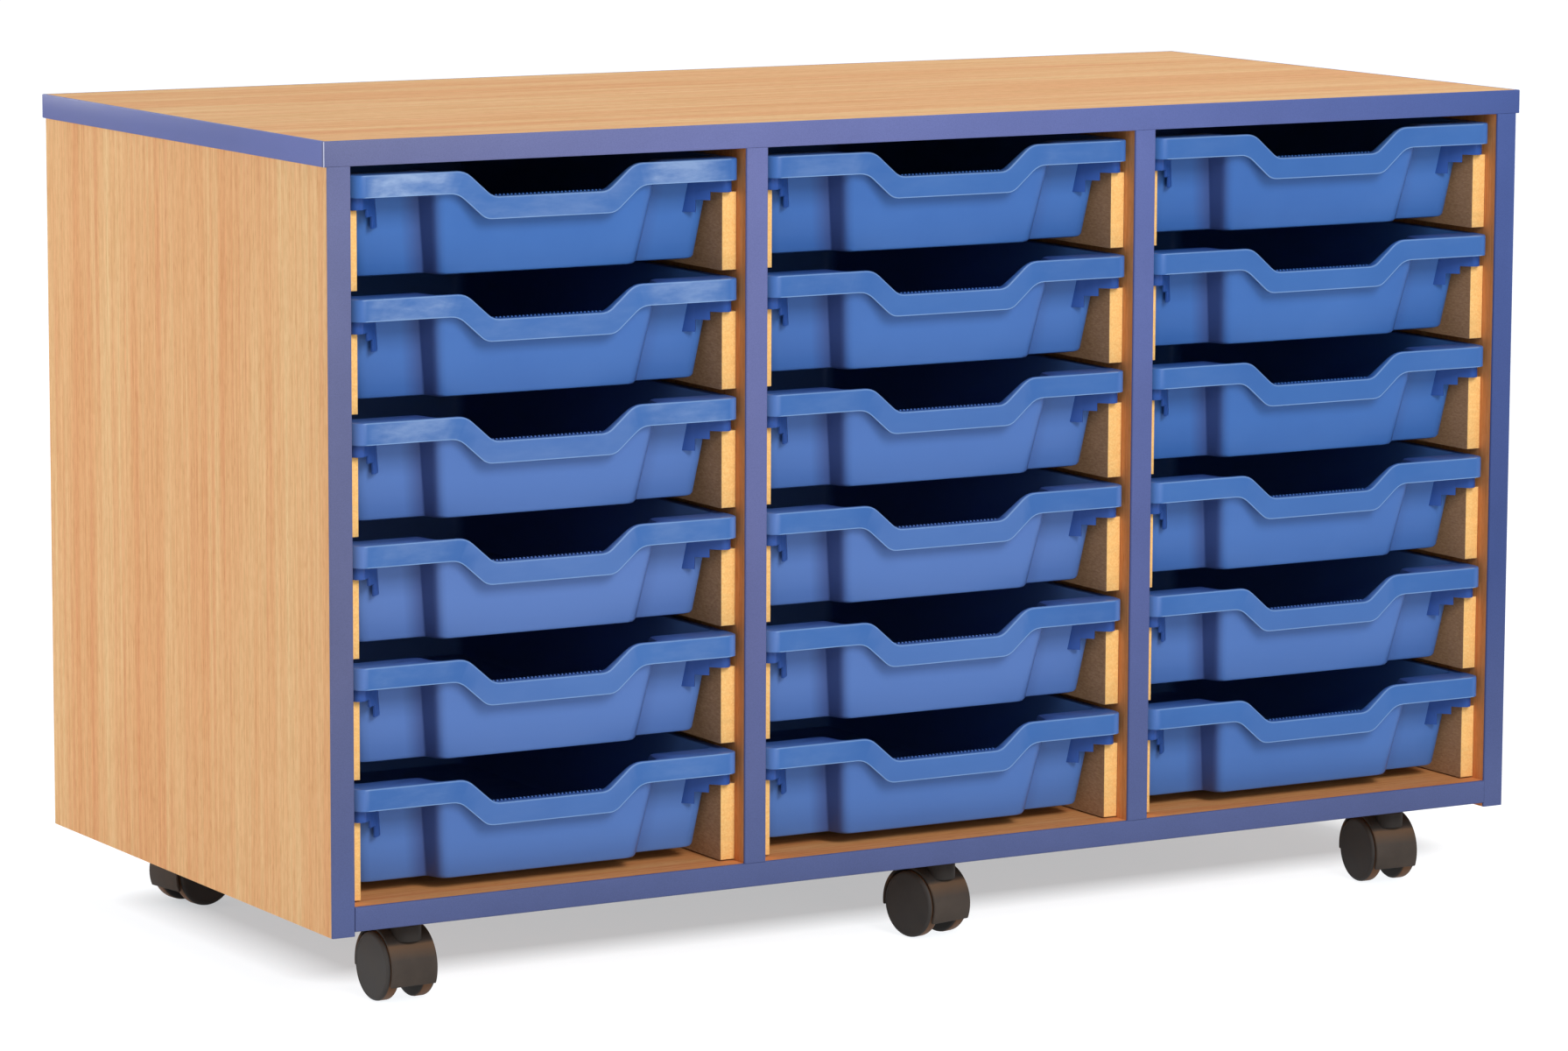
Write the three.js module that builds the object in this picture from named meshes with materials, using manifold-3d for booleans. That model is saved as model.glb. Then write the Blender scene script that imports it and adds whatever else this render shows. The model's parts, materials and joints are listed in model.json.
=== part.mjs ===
// Classroom tray storage unit: a board carcass on castors, with bays of sliding plastic trays.
// Millimetres, +Z up, front towards -Y, origin on the floor under the middle of the unit.
import * as THREE from "three";
import { mergeVertices } from "three/addons/utils/BufferGeometryUtils.js";
import Module from "manifold-3d";

// Layout
const BAY_NAMES = ["left", "middle", "right"];
const ROWS = 6;

// Carcass boards
const BOARD = 18;
const EDGING = 2;
const TOP_OVERHANG = 3;
const TOP_CORNER_RADIUS = 1;
const SIDE_DROP = 3;
const BACK_THICKNESS = 8;

// Trays: outside sizes, and the room left round them
const TRAY_WIDTH = 312;
const TRAY_DEPTH = 427;
const TRAY_HEIGHT = 75;
const TRAY_WALL = 2;
const TRAY_SETBACK = 2;
const TRAY_SIDE_CLEARANCE = 3;
const TRAY_REAR_CLEARANCE = 48;
const TRAY_GAP = 12;
const TOP_CLEARANCE = 7;

// Tray rim: the band round it, its deeper side skirts and the hand-grip dip at the front
const RIM_CORNER_RADIUS = 10;
const BAND_HEIGHT = 16;
const SKIRT_HEIGHT = 25;
const DIP_DEPTH = 19;
const DIP_FLOOR_WIDTH = 92;
const DIP_SLOPE_RUN = 22;

// Tray body: tapered walls with a bulge in the middle of the front
const WALL_DRAFT = THREE.MathUtils.degToRad(8);
const BULGE_LEAN = THREE.MathUtils.degToRad(12.7);
const PANEL_SETBACK = 24;
const BULGE_SETBACK = 2.6;
const BULGE_WIDTH = 182;
const BULGE_FLARE = 4.5;
const BULGE_CORNER_RADIUS = 8;
const BACK_RIM = 7;
const BODY_CORNER_RADIUS = 14;

// Stepped gussets that run across the front corners, under the rim
const GUSSET_STEPS = 3;
const GUSSET_STEP_DROP = 7.5;
const GUSSET_THICKNESS = 2;

// Runners: plain blocks on a thin backing sheet
const RUNNER_THICKNESS = 12;
const RUNNER_WEB = 1.5;
const RUNNER_SETBACK = 15;
const RUNNER_WEB_SETBACK = 25;
const RUNNER_REAR_GAP = 20;
const RUNNER_FOOT_GAP = 1;
const RUNNER_BODY_CLEARANCE = 1.4;
const SLOT_CLEARANCE = 4.7;
const RUN_GAP = 0.3;

// Castors: places from the carcass edges, and how each one stands turned
const CASTOR_LEFT_INSET = 53;
const CASTOR_RIGHT_INSET = 73;
const CASTOR_MIDDLE_SHIFT = 8;
const CASTOR_FRONT_INSET = 26;
const CASTOR_REAR_INSET = 70;
const CASTOR_ROWS = ["front", "rear"];
const CASTOR_TURN_DEGREES = { front: [2, 12, -4], rear: [-80, 25, -20] };

// Castor pieces
const WHEEL_RADIUS = 25.4;
const WHEEL_WIDTH = 10.5;
const WHEEL_SPACING = 19.5;
const WHEEL_SHOULDER = 3;
const WHEEL_INNER_SHOULDER = 2;
const WHEEL_SIDES = 20;
const AXLE_RADIUS = 3;
const HOOD_THICKNESS = 2.4;
const HOOD_WHEEL_CLEARANCE = 1.2;
const HOOD_END_INSET = 1.75;
const HOOD_SIDE_CLEARANCE = 0.6;
const HOOD_SKIRT_DROP = 12;
const BOSS_RADIUS = 11;
const BOSS_RISE = 3.2;
const TRAIL = 15;
const STEM_RADIUS = 4;
const STEM_LENGTH = 15;
const STEM_COVER = 4;
const SWIVEL_GAP = 0.4;
const PIVOT_GAP = 0.3;
const COLLAR_RADIUS = 9;
const COLLAR_THICKNESS = 3;

// Fineness of the faceted curves, and how far a cutting body passes the face it opens
const CORNER_STEPS = 2;
const HOOD_STEPS = 10;
const PIN_SIDES = 16;
const OVERCUT = 1;

// Sizes that follow: widths along X
const bayWidth = TRAY_WIDTH + 2 * TRAY_SIDE_CLEARANCE;
const carcassWidth = BAY_NAMES.length * bayWidth + (BAY_NAMES.length + 1) * BOARD;
const topWidth = carcassWidth + 2 * TOP_OVERHANG;
const innerLeft = BOARD - carcassWidth / 2;

// Sizes that follow: depths along Y
const depth = TRAY_SETBACK + TRAY_DEPTH + TRAY_REAR_CLEARANCE + BACK_THICKNESS;
const front = -depth / 2;
const back = depth / 2;
const boardFront = front + EDGING;
const backFace = back - BACK_THICKNESS;

// Sizes that follow: castor heights above the floor
const axleHeight = WHEEL_RADIUS * Math.cos(Math.PI / WHEEL_SIDES);
const hoodInner = WHEEL_RADIUS + HOOD_WHEEL_CLEARANCE;
const hoodOuter = hoodInner + HOOD_THICKNESS;
const bossTop = hoodOuter + BOSS_RISE;
const collarBottom = axleHeight + bossTop + SWIVEL_GAP;

// Sizes that follow: carcass and row heights above the floor
const bottomUnderside = collarBottom + COLLAR_THICKNESS;
const bottomTop = bottomUnderside + BOARD;
const sideFoot = bottomUnderside - SIDE_DROP;
const slotHeight = RUN_GAP + SKIRT_HEIGHT + SLOT_CLEARANCE;
const rowPitch = TRAY_HEIGHT + TRAY_GAP;
const blockHeight = rowPitch - slotHeight;
const blockFoot = (row) => bottomTop + RUNNER_FOOT_GAP + row * rowPitch;
const rimTop = (row) => blockFoot(row) + blockHeight + RUN_GAP + SKIRT_HEIGHT;
const topUnderside = rimTop(ROWS - 1) + TOP_CLEARANCE;

// Sizes that follow: where the castor stems go up into the bottom board, and how far
const castorX = [
  innerLeft + CASTOR_LEFT_INSET,
  CASTOR_MIDDLE_SHIFT,
  -innerLeft - CASTOR_RIGHT_INSET,
];
const castorY = { front: front + CASTOR_FRONT_INSET, rear: back - CASTOR_REAR_INSET };
const stemRise = BOARD - STEM_COVER;

const wasm = await Module();
wasm.setup();

// Finishes
const finish = (color, roughness, metalness) => {
  return new THREE.MeshStandardMaterial({ color, roughness, metalness });
};
const beech = finish("#dcae7c", 0.55, 0);
const edging = finish("#6a70a6", 0.45, 0);
const runnerBoard = finish("#e6bd83", 0.7, 0);
const trayPlastic = finish("#3f6fb8", 0.4, 0);
const castorPlastic = finish("#2e2a28", 0.45, 0);
const stemSteel = finish("#8d8f92", 0.35, 0.9);

// A closed geometry as a solid that can be joined and cut
function solid(geometry) {
  const bare = geometry.index ? geometry.toNonIndexed() : geometry.clone();
  bare.deleteAttribute("normal");
  bare.deleteAttribute("uv");
  const merged = mergeVertices(bare);
  return new wasm.Manifold(
    new wasm.Mesh({
      numProp: 3,
      vertProperties: merged.attributes.position.array,
      triVerts: new Uint32Array(merged.index.array),
    }),
  );
}

// A solid as a flat-shaded geometry
function geometryOf(body) {
  const { vertProperties, triVerts } = body.getMesh();
  const shared = new THREE.BufferGeometry();
  shared.setAttribute("position", new THREE.BufferAttribute(vertProperties, 3));
  shared.setIndex(new THREE.BufferAttribute(triVerts, 1));
  const flat = shared.toNonIndexed();
  flat.computeVertexNormals();
  return flat;
}

// A box between two corners
function box([x0, y0, z0], [x1, y1, z1]) {
  const geometry = new THREE.BoxGeometry(x1 - x0, y1 - y0, z1 - z0);
  return geometry.translate((x0 + x1) / 2, (y0 + y1) / 2, (z0 + z1) / 2);
}

// A closed outline through corners of [x, y, radius], counter-clockwise
function outline(corners) {
  const path = new THREE.Path();
  corners.forEach(([x, y, radius], i) => {
    const here = new THREE.Vector2(x, y);
    const [lastX, lastY] = corners.at(i - 1);
    const [nextX, nextY] = corners[(i + 1) % corners.length];
    const from = new THREE.Vector2(lastX, lastY).sub(here).setLength(radius).add(here);
    const to = new THREE.Vector2(nextX, nextY).sub(here).setLength(radius).add(here);
    if (i === 0) path.moveTo(from.x, from.y);
    else path.lineTo(from.x, from.y);
    path.quadraticCurveTo(x, y, to.x, to.y);
  });
  path.closePath();
  return path.getPoints(CORNER_STEPS).slice(0, -1);
}

// An outline of a rectangle with four like corners
function roundedRectangle(x0, y0, x1, y1, radius) {
  return outline([
    [x0, y0, radius],
    [x1, y0, radius],
    [x1, y1, radius],
    [x0, y1, radius],
  ]);
}

// A closed body between two outlines with like points
function loft(lower, upper, zLow, zHigh) {
  const count = lower.length;
  const points = [
    ...lower.flatMap(({ x, y }) => [x, y, zLow]),
    ...upper.flatMap(({ x, y }) => [x, y, zHigh]),
  ];
  const faces = [];
  lower.forEach((_, i) => {
    const j = (i + 1) % count;
    faces.push(i, j, count + j, i, count + j, count + i);
  });
  THREE.ShapeUtils.triangulateShape([...upper], []).forEach(([a, b, c]) => {
    faces.push(count + a, count + b, count + c, c, b, a);
  });
  const geometry = new THREE.BufferGeometry();
  geometry.setAttribute("position", new THREE.Float32BufferAttribute(points, 3));
  geometry.setIndex(faces);
  return geometry;
}

// A plate with an outline in x and z and its thickness along y
function upright(corners, yFront, thickness) {
  const shape = new THREE.Shape(corners.map(([x, z]) => new THREE.Vector2(x, z)));
  const plate = new THREE.ExtrudeGeometry(shape, { depth: thickness, bevelEnabled: false });
  return plate.rotateX(Math.PI / 2).translate(0, yFront + thickness, 0);
}

// A round bar along z from its lower end
function bar(radius, length, sides) {
  const cylinder = new THREE.CylinderGeometry(radius, radius, length, sides);
  return cylinder.rotateX(Math.PI / 2).translate(0, 0, length / 2);
}

const unit = new THREE.Group();

function addMesh(parent, name, geometry, material, [x, y, z] = [0, 0, 0]) {
  const mesh = new THREE.Mesh(geometry, material);
  mesh.name = name;
  mesh.position.set(x, y, z);
  parent.add(mesh);
}

// Carcass: boards that butt together, with edging strips on the faces that show
function addTop() {
  const boardX = topWidth / 2 - EDGING;
  const boardY = depth / 2 - EDGING;
  const low = [-boardX, -boardY, topUnderside];
  const high = [boardX, boardY, topUnderside + BOARD];
  addMesh(unit, "top_board", box(low, high), beech);
  const x = topWidth / 2;
  const band = roundedRectangle(-x, front, x, back, TOP_CORNER_RADIUS);
  const ring = solid(loft(band, band, topUnderside, topUnderside + BOARD));
  const hole = box(
    [-boardX, -boardY, topUnderside - OVERCUT],
    [boardX, boardY, topUnderside + BOARD + OVERCUT],
  );
  addMesh(unit, "top_edging", geometryOf(ring.subtract(solid(hole))), edging);
}

function addUprightBoard(name, x, zFoot, rear) {
  const boardLow = [x, boardFront, zFoot];
  addMesh(unit, name, box(boardLow, [x + BOARD, rear, topUnderside]), beech);
  const stripLow = [x, front, zFoot];
  addMesh(unit, `${name}_edging`, box(stripLow, [x + BOARD, boardFront, topUnderside]), edging);
}

function addBottomAndBack() {
  const x = -innerLeft;
  const high = [x, backFace, bottomTop];
  let board = solid(box([-x, boardFront, bottomUnderside], high));
  const drill = bar(STEM_RADIUS + PIVOT_GAP, OVERCUT + stemRise + PIVOT_GAP, PIN_SIDES);
  for (const row of CASTOR_ROWS) {
    for (const holeX of castorX) {
      const hole = drill.clone().translate(holeX, castorY[row], bottomUnderside - OVERCUT);
      board = board.subtract(solid(hole));
    }
  }
  addMesh(unit, "bottom_board", geometryOf(board), beech);
  const stripHigh = [x, boardFront, bottomTop];
  addMesh(unit, "bottom_edging", box([-x, front, bottomUnderside], stripHigh), edging);
  const backHigh = [x, back, topUnderside];
  addMesh(unit, "back_panel", box([-x, backFace, bottomUnderside], backHigh), beech);
}

// Runners: the blocks of one bay face, which stand out from it towards the given side
function addRunners(name, faceX, side) {
  const rear = backFace - RUNNER_REAR_GAP;
  const slab = (reach, yFront, zLow, zHigh) => {
    const x = faceX + side * reach;
    const low = [Math.min(faceX, x), yFront, zLow];
    return solid(box(low, [Math.max(faceX, x), rear, zHigh]));
  };
  const webTop = blockFoot(ROWS - 1) + blockHeight;
  let set = slab(RUNNER_WEB, front + RUNNER_WEB_SETBACK, blockFoot(0), webTop);
  for (let row = 0; row < ROWS; row++) {
    const foot = blockFoot(row);
    set = set.add(slab(RUNNER_THICKNESS, front + RUNNER_SETBACK, foot, foot + blockHeight));
  }
  addMesh(unit, name, geometryOf(set), runnerBoard);
}

// Trays: local origin at the middle of the rim's front face, z 0 at the top of the rim
const runnerFace = bayWidth / 2 - RUNNER_THICKNESS;
const bodyHalfAtRunner = runnerFace - RUNNER_BODY_CLEARANCE;
const bodyHalfAtRim = bodyHalfAtRunner + SKIRT_HEIGHT * Math.tan(WALL_DRAFT);
const panelAt = (below) => PANEL_SETBACK + below * Math.tan(WALL_DRAFT);
const bulgeAt = (below) => BULGE_SETBACK + below * Math.tan(BULGE_LEAN);

// The outside of the body at a depth below the rim, or a line set in from it
function bodyOutline(below, inset) {
  const taper = below * Math.tan(WALL_DRAFT) + inset;
  const half = bodyHalfAtRim - taper;
  const panelY = panelAt(below) + inset;
  const bulgeY = bulgeAt(below) + inset;
  const bulgeHalf = BULGE_WIDTH / 2 - taper;
  const backY = TRAY_DEPTH - BACK_RIM - taper;
  return outline([
    [-half, panelY, BODY_CORNER_RADIUS],
    [-bulgeHalf - BULGE_FLARE, panelY, 0],
    [-bulgeHalf, bulgeY, BULGE_CORNER_RADIUS],
    [bulgeHalf, bulgeY, BULGE_CORNER_RADIUS],
    [bulgeHalf + BULGE_FLARE, panelY, 0],
    [half, panelY, BODY_CORNER_RADIUS],
    [half, backY, BODY_CORNER_RADIUS],
    [-half, backY, BODY_CORNER_RADIUS],
  ]);
}

function rimOutline(inset) {
  const x = TRAY_WIDTH / 2 - inset;
  return roundedRectangle(-x, inset, x, TRAY_DEPTH - inset, RIM_CORNER_RADIUS - inset);
}

// The dip's line across the front, moved down square to itself by a distance
function dipLine(offset) {
  const slope = Math.atan2(DIP_DEPTH, DIP_SLOPE_RUN);
  const spread = offset * Math.tan(slope / 2);
  const floorX = DIP_FLOOR_WIDTH / 2 + spread;
  const brinkX = floorX + DIP_SLOPE_RUN;
  return [
    [-brinkX, -offset],
    [-floorX, -offset - DIP_DEPTH],
    [floorX, -offset - DIP_DEPTH],
    [brinkX, -offset],
  ];
}

// A strip that follows the dip, from its upper line down to the given height
function dipStrip(height, reach) {
  return solid(upright([...dipLine(0), ...dipLine(height).reverse()], 0, reach));
}

// One gusset: in from the skirt's front end, then slantwise back to the set-back panel in steps
function gusset(side) {
  const skirtInner = TRAY_WIDTH / 2 - TRAY_WALL;
  const half = GUSSET_THICKNESS / 2;
  const noseX = [side * (skirtInner + half), side * (bodyHalfAtRunner - half)];
  const noseLow = [Math.min(...noseX), RIM_CORNER_RADIUS - half, -SKIRT_HEIGHT];
  const noseHigh = [Math.max(...noseX), RIM_CORNER_RADIUS + half, -TRAY_WALL / 2];
  const lowest = SKIRT_HEIGHT + (GUSSET_STEPS - 1) * GUSSET_STEP_DROP;
  const length = (panelAt(lowest) - RIM_CORNER_RADIUS) * Math.SQRT2;
  const run = length / GUSSET_STEPS;
  const profile = [[0, -TRAY_WALL / 2]];
  for (let step = 0; step < GUSSET_STEPS; step++) {
    const bottom = -SKIRT_HEIGHT - step * GUSSET_STEP_DROP;
    profile.push([step * run, bottom], [(step + 1) * run, bottom]);
  }
  profile.push([length, -TRAY_WALL / 2]);
  const plate = upright(profile, -half, GUSSET_THICKNESS);
  const heading = Math.PI / 2 + (side * Math.PI) / 4;
  plate.rotateZ(heading).translate(side * bodyHalfAtRunner, RIM_CORNER_RADIUS, 0);
  return solid(box(noseLow, noseHigh)).add(solid(plate));
}

function trayGeometry() {
  const base = bodyOutline(TRAY_HEIGHT, 0);
  const body = solid(loft(base, bodyOutline(0, 0), -TRAY_HEIGHT, 0));
  const floor = bodyOutline(TRAY_HEIGHT - TRAY_WALL, TRAY_WALL);
  const mouth = bodyOutline(-OVERCUT, TRAY_WALL);
  const cavity = solid(loft(floor, mouth, TRAY_WALL - TRAY_HEIGHT, OVERCUT));
  const cap = solid(loft(rimOutline(0), rimOutline(0), -BAND_HEIGHT, 0));
  const under = rimOutline(TRAY_WALL);
  const capHollow = solid(loft(under, under, -BAND_HEIGHT - OVERCUT, -TRAY_WALL));
  let tray = cap.subtract(capHollow).add(body);
  for (const side of [-1, 1]) {
    const x = [(side * TRAY_WIDTH) / 2, side * (TRAY_WIDTH / 2 - TRAY_WALL)];
    const low = [Math.min(...x), RIM_CORNER_RADIUS, -SKIRT_HEIGHT];
    const high = [Math.max(...x), TRAY_DEPTH - RIM_CORNER_RADIUS, -TRAY_WALL / 2];
    tray = tray.add(solid(box(low, high))).add(gusset(side));
  }
  const wallInside = bulgeAt(DIP_DEPTH) + TRAY_WALL;
  const above = dipLine(0);
  const open = [...above, [above[3][0], OVERCUT], [above[0][0], OVERCUT]];
  const dip = solid(upright(open, -OVERCUT, wallInside + 2 * OVERCUT));
  tray = tray.subtract(cavity).subtract(dip);
  tray = tray.add(dipStrip(BAND_HEIGHT, TRAY_WALL));
  return geometryOf(tray.add(dipStrip(TRAY_WALL, wallInside - TRAY_WALL / 2)));
}

// Castors: local origin on the axle, wheels behind the swivel stem
const hoodWidth = 2 * WHEEL_WIDTH + WHEEL_SPACING - 2 * HOOD_END_INSET;

function wheelsGeometry() {
  const outer = WHEEL_SPACING / 2 + WHEEL_WIDTH;
  const inner = WHEEL_SPACING / 2;
  const half = [
    [0, outer],
    [WHEEL_RADIUS - WHEEL_SHOULDER, outer],
    [WHEEL_RADIUS, outer - WHEEL_SHOULDER],
    [WHEEL_RADIUS, inner + WHEEL_INNER_SHOULDER],
    [WHEEL_RADIUS - WHEEL_INNER_SHOULDER, inner],
    [AXLE_RADIUS, inner],
  ];
  const mirrored = half.map(([radius, along]) => [radius, -along]);
  const profile = [...mirrored, ...half.reverse()];
  const points = profile.map(([radius, along]) => new THREE.Vector2(radius, along));
  const lathe = new THREE.LatheGeometry(points, WHEEL_SIDES, Math.PI / WHEEL_SIDES);
  return geometryOf(solid(lathe.rotateZ(Math.PI / 2)));
}

function hoodGeometry() {
  const frontAngle = Math.PI + Math.asin(HOOD_SKIRT_DROP / hoodOuter);
  const rearAngle = -Math.asin(HOOD_SKIRT_DROP / hoodOuter);
  const shape = new THREE.Shape();
  shape.absarc(0, 0, hoodOuter, rearAngle, frontAngle, false);
  shape.closePath();
  const extrusion = { depth: hoodWidth, bevelEnabled: false, curveSegments: HOOD_STEPS };
  const cover = new THREE.ExtrudeGeometry(shape, extrusion).translate(0, 0, -hoodWidth / 2);
  const alongX = new THREE.Matrix4().makeBasis(
    new THREE.Vector3(0, 1, 0),
    new THREE.Vector3(0, 0, 1),
    new THREE.Vector3(1, 0, 0),
  );
  const boss = bar(BOSS_RADIUS, bossTop, PIN_SIDES).translate(0, -TRAIL, 0);
  let hood = solid(cover.applyMatrix4(alongX)).add(solid(boss));
  const coreHalf = WHEEL_SPACING / 2 - HOOD_SIDE_CLEARANCE;
  const pocket = bar(hoodInner, hoodOuter, WHEEL_SIDES).rotateY(Math.PI / 2);
  hood = hood.subtract(solid(pocket.clone().translate(coreHalf, 0, 0)));
  hood = hood.subtract(solid(pocket.clone().translate(-coreHalf - hoodOuter, 0, 0)));
  const bore = bar(AXLE_RADIUS + PIVOT_GAP, WHEEL_SPACING, WHEEL_SIDES);
  hood = hood.subtract(solid(bore.rotateY(Math.PI / 2).translate(-WHEEL_SPACING / 2, 0, 0)));
  const socketDepth = STEM_LENGTH + PIVOT_GAP;
  const socket = bar(STEM_RADIUS + PIVOT_GAP, socketDepth + OVERCUT, PIN_SIDES);
  return geometryOf(hood.subtract(solid(socket.translate(0, -TRAIL, bossTop - socketDepth))));
}

// The stem that the hood turns on: its collar bears on the board, its upper end goes into the board
function stemGeometry() {
  const collar = solid(bar(COLLAR_RADIUS, COLLAR_THICKNESS, PIN_SIDES));
  const reach = STEM_LENGTH + SWIVEL_GAP;
  const pin = bar(STEM_RADIUS, reach + COLLAR_THICKNESS + stemRise, PIN_SIDES);
  return geometryOf(collar.add(solid(pin.translate(0, 0, -reach))));
}

function addCastors() {
  const hood = hoodGeometry();
  const wheels = wheelsGeometry();
  const stem = stemGeometry();
  for (const row of CASTOR_ROWS) {
    BAY_NAMES.forEach((column, i) => {
      const name = `${row}_${column}_castor`;
      addMesh(unit, `${name}_stem`, stem, stemSteel, [castorX[i], castorY[row], collarBottom]);
      const swivel = new THREE.Group();
      swivel.position.set(castorX[i], castorY[row], axleHeight);
      swivel.rotation.z = THREE.MathUtils.degToRad(CASTOR_TURN_DEGREES[row][i]);
      addMesh(swivel, `${name}_hood`, hood, castorPlastic, [0, TRAIL, 0]);
      addMesh(swivel, `${name}_wheels`, wheels, castorPlastic, [0, TRAIL, 0]);
      unit.add(swivel);
    });
  }
}

// Assembly
addTop();
addBottomAndBack();
addUprightBoard("left_side", -carcassWidth / 2, sideFoot, back);
addUprightBoard("right_side", carcassWidth / 2 - BOARD, sideFoot, back);
const tray = trayGeometry();
BAY_NAMES.forEach((bay, i) => {
  const bayLeft = innerLeft + i * (bayWidth + BOARD);
  if (i > 0) addUprightBoard(`divider_${i}`, bayLeft - BOARD, bottomTop, backFace);
  addRunners(`${bay}_bay_left_runners`, bayLeft, 1);
  addRunners(`${bay}_bay_right_runners`, bayLeft + bayWidth, -1);
  for (let row = 0; row < ROWS; row++) {
    const place = [bayLeft + bayWidth / 2, front + TRAY_SETBACK, rimTop(row)];
    addMesh(unit, `${bay}_tray_${ROWS - row}`, tray, trayPlastic, place);
  }
});
addCastors();

export default unit;
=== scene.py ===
import json
import math

import bpy
from mathutils import Matrix, Vector


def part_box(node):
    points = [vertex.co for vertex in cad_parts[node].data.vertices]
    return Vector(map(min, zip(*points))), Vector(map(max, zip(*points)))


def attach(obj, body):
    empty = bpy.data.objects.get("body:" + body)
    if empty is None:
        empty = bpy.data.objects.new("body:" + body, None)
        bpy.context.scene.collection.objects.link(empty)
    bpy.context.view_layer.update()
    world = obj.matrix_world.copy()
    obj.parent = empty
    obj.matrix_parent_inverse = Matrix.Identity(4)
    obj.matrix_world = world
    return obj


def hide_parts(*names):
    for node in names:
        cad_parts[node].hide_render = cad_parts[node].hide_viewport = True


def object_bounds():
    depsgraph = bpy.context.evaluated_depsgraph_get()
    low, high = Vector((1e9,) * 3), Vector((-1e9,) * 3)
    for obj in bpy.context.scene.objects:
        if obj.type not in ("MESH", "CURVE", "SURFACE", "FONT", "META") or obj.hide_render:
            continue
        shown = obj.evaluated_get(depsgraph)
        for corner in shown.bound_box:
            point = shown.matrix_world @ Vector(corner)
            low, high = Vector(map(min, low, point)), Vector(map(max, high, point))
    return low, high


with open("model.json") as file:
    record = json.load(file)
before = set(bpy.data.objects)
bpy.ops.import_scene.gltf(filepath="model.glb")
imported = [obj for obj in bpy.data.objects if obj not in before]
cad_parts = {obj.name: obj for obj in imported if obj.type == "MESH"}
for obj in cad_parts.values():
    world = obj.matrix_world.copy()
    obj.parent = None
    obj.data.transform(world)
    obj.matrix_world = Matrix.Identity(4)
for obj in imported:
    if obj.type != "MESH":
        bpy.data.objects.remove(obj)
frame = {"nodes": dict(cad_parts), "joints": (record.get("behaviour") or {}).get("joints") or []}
cad_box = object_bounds()
nodes = frame["nodes"]
MM = 0.001


# Carcass boards. Faced chipboard, 18 mm thick, with a printed beech grain under clear melamine.
# The boards are cut square and dowelled together, so each keeps its flat faces; the grain runs
# upright on the sides and dividers, and along the unit on the top, the bottom and the back.
def paint(red, green, blue):
    """A screen colour from 0 to 255 as the linear colour that a shader takes."""
    channels = [value / 255 for value in (red, green, blue)]
    linear = [c / 12.92 if c <= 0.04045 else ((c + 0.055) / 1.055) ** 2.4 for c in channels]
    return (*linear, 1.0)


def new_finish(name, roughness):
    """A plain material, with its node tree, its shader and its object coordinates."""
    finish = bpy.data.materials.new(name)
    finish.use_nodes = True
    tree = finish.node_tree
    shader = tree.nodes["Principled BSDF"]
    shader.inputs["Roughness"].default_value = roughness
    place = tree.nodes.new("ShaderNodeTexCoord")
    return finish, tree, shader, place.outputs["Object"]


def stretched_noise(tree, place, scale, size, detail=4.0, roughness=0.55, distortion=0.0):
    """Noise on object coordinates that are stretched by a scale for each axis."""
    mapping = tree.nodes.new("ShaderNodeMapping")
    mapping.inputs["Scale"].default_value = scale
    tree.links.new(place, mapping.inputs["Vector"])
    noise = tree.nodes.new("ShaderNodeTexNoise")
    noise.inputs["Scale"].default_value = size
    noise.inputs["Detail"].default_value = detail
    noise.inputs["Roughness"].default_value = roughness
    noise.inputs["Distortion"].default_value = distortion
    tree.links.new(mapping.outputs["Vector"], noise.inputs["Vector"])
    return noise.outputs["Fac"]


def ramp(tree, value, stops):
    """A colour ramp with a stop at each of the given positions."""
    node = tree.nodes.new("ShaderNodeValToRGB")
    elements = node.color_ramp.elements
    while len(elements) < len(stops):
        elements.new(0.5)
    for element, (position, color) in zip(elements, stops):
        element.position = position
        element.color = color
    tree.links.new(value, node.inputs["Fac"])
    return node.outputs["Color"]


def grey(level):
    """A neutral linear colour."""
    return (level, level, level, 1.0)


def mixed(tree, factor, first, second, mode="MIX"):
    """Two colours mixed by a factor, each given as a socket or as a plain value."""
    node = tree.nodes.new("ShaderNodeMix")
    node.data_type = "RGBA"
    node.blend_type = mode
    sockets = (node.inputs["Factor"], node.inputs[6], node.inputs[7])
    for socket, value in zip(sockets, (factor, first, second)):
        if isinstance(value, bpy.types.NodeSocket):
            tree.links.new(value, socket)
        else:
            socket.default_value = value
    return node.outputs[2]


def math_step(tree, operation, *values):
    """One step of arithmetic on values, each given as a socket or as a plain number."""
    node = tree.nodes.new("ShaderNodeMath")
    node.operation = operation
    for socket, value in zip(node.inputs, values):
        if isinstance(value, bpy.types.NodeSocket):
            tree.links.new(value, socket)
        else:
            socket.default_value = value
    return node.outputs["Value"]


def axis_values(tree, place):
    """The x, y and z of a place, each as a socket."""
    split = tree.nodes.new("ShaderNodeSeparateXYZ")
    tree.links.new(place, split.inputs["Vector"])
    return split.outputs["X"], split.outputs["Y"], split.outputs["Z"]


def bump(tree, shader, height, strength, distance):
    """Surface relief from a height pattern."""
    node = tree.nodes.new("ShaderNodeBump")
    node.inputs["Strength"].default_value = strength
    node.inputs["Distance"].default_value = distance
    tree.links.new(height, node.inputs["Height"])
    tree.links.new(node.outputs["Normal"], shader.inputs["Normal"])


BOARD = 18 * MM
BAY_SHADE_TONE = (0.97, 0.72, 0.54, 1.0)
FIBRE_RELIEF = 0.2 * MM


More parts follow.
